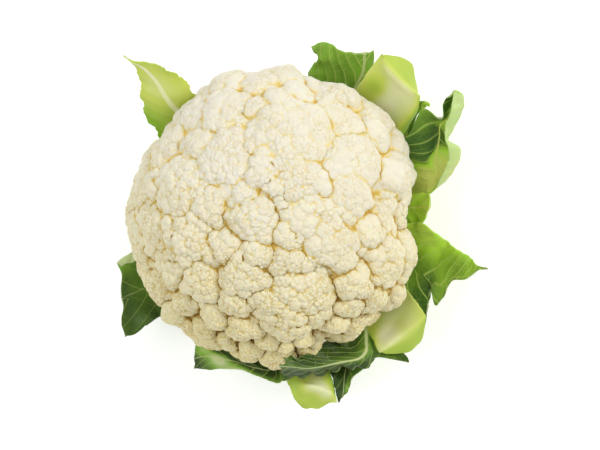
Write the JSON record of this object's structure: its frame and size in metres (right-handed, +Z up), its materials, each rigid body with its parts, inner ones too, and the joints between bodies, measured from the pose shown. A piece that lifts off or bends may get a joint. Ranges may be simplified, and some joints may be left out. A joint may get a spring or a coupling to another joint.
{
  "type": "cauliflower",
  "caption": "Fresh cauliflower head: a domed cream curd of clustered florets on a cut stalk, ringed by short trimmed green leaves.",
  "frame": {"origin": "middle of the stalk's cut face, which the head stands on", "axes": "+Z up along the stalk to the top of the curd; +X and +Y lie in the cut face"},
  "size_m": [0.211, 0.2105, 0.1263],
  "materials": {
    "curd": "matte, finely granular",
    "stalk": "matte, slightly moist",
    "leaf_pale": "smooth, waxy",
    "leaf_green": "waxy, veined",
    "leaf_dark": "waxy, veined"
  },
  "bodies": {
    "root": {"curd": "curd", "stalk": "stalk", "leaf_top_left": "leaf_pale", "leaf_top": "leaf_dark", "leaf_top_right": "leaf_pale", "leaf_right_swept": "leaf_green", "leaf_right_inner": "leaf_green", "leaf_right": "leaf_green", "leaf_lower_right": "leaf_pale", "leaf_bottom_dark": "leaf_dark", "leaf_bottom_curled": "leaf_dark", "leaf_bottom": "leaf_pale", "leaf_bottom_left": "leaf_green", "leaf_left": "leaf_dark", "leaf_back_left": "leaf_green", "leaf_back": "leaf_green", "leaf_far": "leaf_green", "leaf_left_inner": "leaf_green"}
  },
  "joints": []
}
